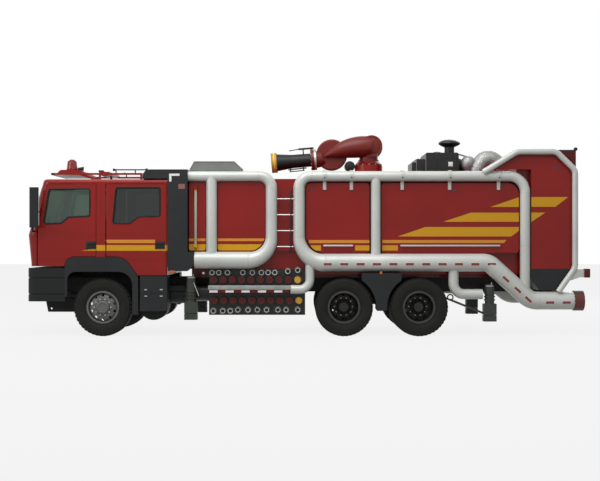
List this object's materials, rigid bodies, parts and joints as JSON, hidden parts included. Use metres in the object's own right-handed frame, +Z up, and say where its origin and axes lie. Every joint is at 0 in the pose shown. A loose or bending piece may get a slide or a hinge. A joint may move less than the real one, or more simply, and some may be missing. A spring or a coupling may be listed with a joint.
{
  "type": "airport fire truck",
  "caption": "Three-axle airport fire truck with a crew cab, red body in a silver pipe frame, side flap lockers, coupling banks, jacks and a roof water monitor.",
  "frame": {"origin": "on the ground under the middle of the truck's length and width", "axes": "+X towards the rear, +Y towards the truck's right, +Z up"},
  "size_m": [10.483, 3.04, 3.873],
  "materials": {
    "paint_red": "gloss",
    "pipe_silver": "satin",
    "dark_grey": "satin",
    "black_plastic": "matte",
    "black_steel": "satin",
    "wheel_grey": "satin",
    "wheel_dark": "satin",
    "tyre": "matte",
    "glass": "gloss",
    "seat_cloth": "matte",
    "bright_steel": "brushed",
    "sign_grey": "satin",
    "lens": "gloss"
  },
  "bodies": {
    "chassis": {"chassis_frame": "black_steel", "axles": "black_steel", "engine_block": "black_steel", "cab_floor": "black_steel", "cab_shell": "paint_red", "cab_roof": "paint_red", "windscreen": "glass", "seats": "seat_cloth", "dashboard": "black_plastic", "front_bumper": "black_plastic", "front_grille": "black_plastic", "mudguards": "black_plastic", "step_boxes": "black_plastic", "mirrors": "black_plastic", "roof_rack": "paint_red", "fairing": "dark_grey", "front_body": "paint_red", "rear_body": "paint_red", "pipe_frames": "pipe_silver", "coupling_banks": "black_plastic", "ladders": "bright_steel", "jack_sleeves": "dark_grey", "roof_signs": "sign_grey", "monitor_base": "pipe_silver", "roof_engine_pack": "black_plastic", "exhaust_elbow": "bright_steel", "tail_house": "paint_red", "tail_skirt": "dark_grey", "lamps": "lens"},
    "knuckle_left": {"knuckle_left": "black_steel"},
    "front_wheel_left": {"tyre_front_left": "tyre", "wheel_front_left": "wheel_grey"},
    "middle_wheels_left": {"tyres_middle_left": "tyre", "wheels_middle_left": "wheel_dark"},
    "rear_wheels_left": {"tyres_rear_left": "tyre", "wheels_rear_left": "wheel_dark"},
    "front_door_left": {"door_front_left": "paint_red"},
    "rear_door_left": {"door_rear_left": "paint_red"},
    "fore_flap_left": {"flap_fore_left": "paint_red"},
    "aft_flap_left": {"flap_aft_left": "paint_red"},
    "fore_jack_left": {"jack_fore_left": "dark_grey"},
    "aft_jack_left": {"jack_aft_left": "dark_grey"},
    "knuckle_right": {"knuckle_right": "black_steel"},
    "front_wheel_right": {"tyre_front_right": "tyre", "wheel_front_right": "wheel_grey"},
    "middle_wheels_right": {"tyres_middle_right": "tyre", "wheels_middle_right": "wheel_dark"},
    "rear_wheels_right": {"tyres_rear_right": "tyre", "wheels_rear_right": "wheel_dark"},
    "front_door_right": {"door_front_right": "paint_red"},
    "rear_door_right": {"door_rear_right": "paint_red"},
    "fore_flap_right": {"flap_fore_right": "paint_red"},
    "aft_flap_right": {"flap_aft_right": "paint_red"},
    "fore_jack_right": {"jack_fore_right": "dark_grey"},
    "aft_jack_right": {"jack_aft_right": "dark_grey"},
    "turret": {"monitor_turret": "pipe_silver"},
    "barrel": {"monitor_barrel": "black_steel"}
  },
  "joints": [
    {"name": "steer_left", "type": "hinge", "parent": "chassis", "child": "knuckle_left", "pos_m": [-3.8415, -0.852, 0.54], "axis": [0, 0, 1], "range_deg": [-28, 28]},
    {"name": "roll_front_left", "type": "hinge", "parent": "knuckle_left", "child": "front_wheel_left", "pos_m": [-3.8415, -1.06, 0.54], "axis": [0, -1, 0], "continuous": true},
    {"name": "roll_middle_left", "type": "hinge", "parent": "chassis", "child": "middle_wheels_left", "pos_m": [0.6585, -0.911, 0.54], "axis": [0, -1, 0], "continuous": true},
    {"name": "roll_rear_left", "type": "hinge", "parent": "chassis", "child": "rear_wheels_left", "pos_m": [2.0585, -0.911, 0.54], "axis": [0, -1, 0], "continuous": true},
    {"name": "door_front_left_hinge", "type": "hinge", "parent": "chassis", "child": "front_door_left", "pos_m": [-5.0295, -1.215, 2], "axis": [0, 0, -1], "range_deg": [0, 68]},
    {"name": "door_rear_left_hinge", "type": "hinge", "parent": "chassis", "child": "rear_door_left", "pos_m": [-3.7515, -1.215, 2], "axis": [0, 0, -1], "range_deg": [0, 68]},
    {"name": "flap_fore_left_hinge", "type": "hinge", "parent": "chassis", "child": "fore_flap_left", "pos_m": [0.5485, -1.085, 2.993], "axis": [-1, 0, 0], "range_deg": [0, 92]},
    {"name": "flap_aft_left_hinge", "type": "hinge", "parent": "chassis", "child": "aft_flap_left", "pos_m": [2.6585, -1.085, 2.993], "axis": [-1, 0, 0], "range_deg": [0, 92]},
    {"name": "jack_fore_left_slide", "type": "slide", "parent": "chassis", "child": "fore_jack_left", "axis": [0, 0, -1], "range_m": [0, 0.24]},
    {"name": "jack_aft_left_slide", "type": "slide", "parent": "chassis", "child": "aft_jack_left", "axis": [0, 0, -1], "range_m": [0, 0.24]},
    {"name": "steer_right", "type": "hinge", "parent": "chassis", "child": "knuckle_right", "pos_m": [-3.8415, 0.852, 0.54], "axis": [0, 0, 1], "range_deg": [-28, 28]},
    {"name": "roll_front_right", "type": "hinge", "parent": "knuckle_right", "child": "front_wheel_right", "pos_m": [-3.8415, 1.06, 0.54], "axis": [0, -1, 0], "continuous": true},
    {"name": "roll_middle_right", "type": "hinge", "parent": "chassis", "child": "middle_wheels_right", "pos_m": [0.6585, 0.911, 0.54], "axis": [0, -1, 0], "continuous": true},
    {"name": "roll_rear_right", "type": "hinge", "parent": "chassis", "child": "rear_wheels_right", "pos_m": [2.0585, 0.911, 0.54], "axis": [0, -1, 0], "continuous": true},
    {"name": "door_front_right_hinge", "type": "hinge", "parent": "chassis", "child": "front_door_right", "pos_m": [-5.0295, 1.215, 2], "axis": [0, 0, 1], "range_deg": [0, 68]},
    {"name": "door_rear_right_hinge", "type": "hinge", "parent": "chassis", "child": "rear_door_right", "pos_m": [-3.7515, 1.215, 2], "axis": [0, 0, 1], "range_deg": [0, 68]},
    {"name": "flap_fore_right_hinge", "type": "hinge", "parent": "chassis", "child": "fore_flap_right", "pos_m": [0.5485, 1.085, 2.993], "axis": [1, 0, 0], "range_deg": [0, 92]},
    {"name": "flap_aft_right_hinge", "type": "hinge", "parent": "chassis", "child": "aft_flap_right", "pos_m": [2.6585, 1.085, 2.993], "axis": [1, 0, 0], "range_deg": [0, 92]},
    {"name": "jack_fore_right_slide", "type": "slide", "parent": "chassis", "child": "fore_jack_right", "axis": [0, 0, -1], "range_m": [0, 0.24]},
    {"name": "jack_aft_right_slide", "type": "slide", "parent": "chassis", "child": "aft_jack_right", "axis": [0, 0, -1], "range_m": [0, 0.24]},
    {"name": "monitor_yaw", "type": "hinge", "parent": "chassis", "child": "turret", "pos_m": [1.1915, 0, 3.273], "axis": [0, 0, 1], "range_deg": [-120, 120]},
    {"name": "monitor_elevation", "type": "hinge", "parent": "turret", "child": "barrel", "pos_m": [0.4645, -0.072, 3.477], "axis": [0, 1, 0], "range_deg": [0, 60]}
  ],
  "couplings": [
    {"joint": "steer_right", "follows": "steer_left", "ratio": 1}
  ]
}
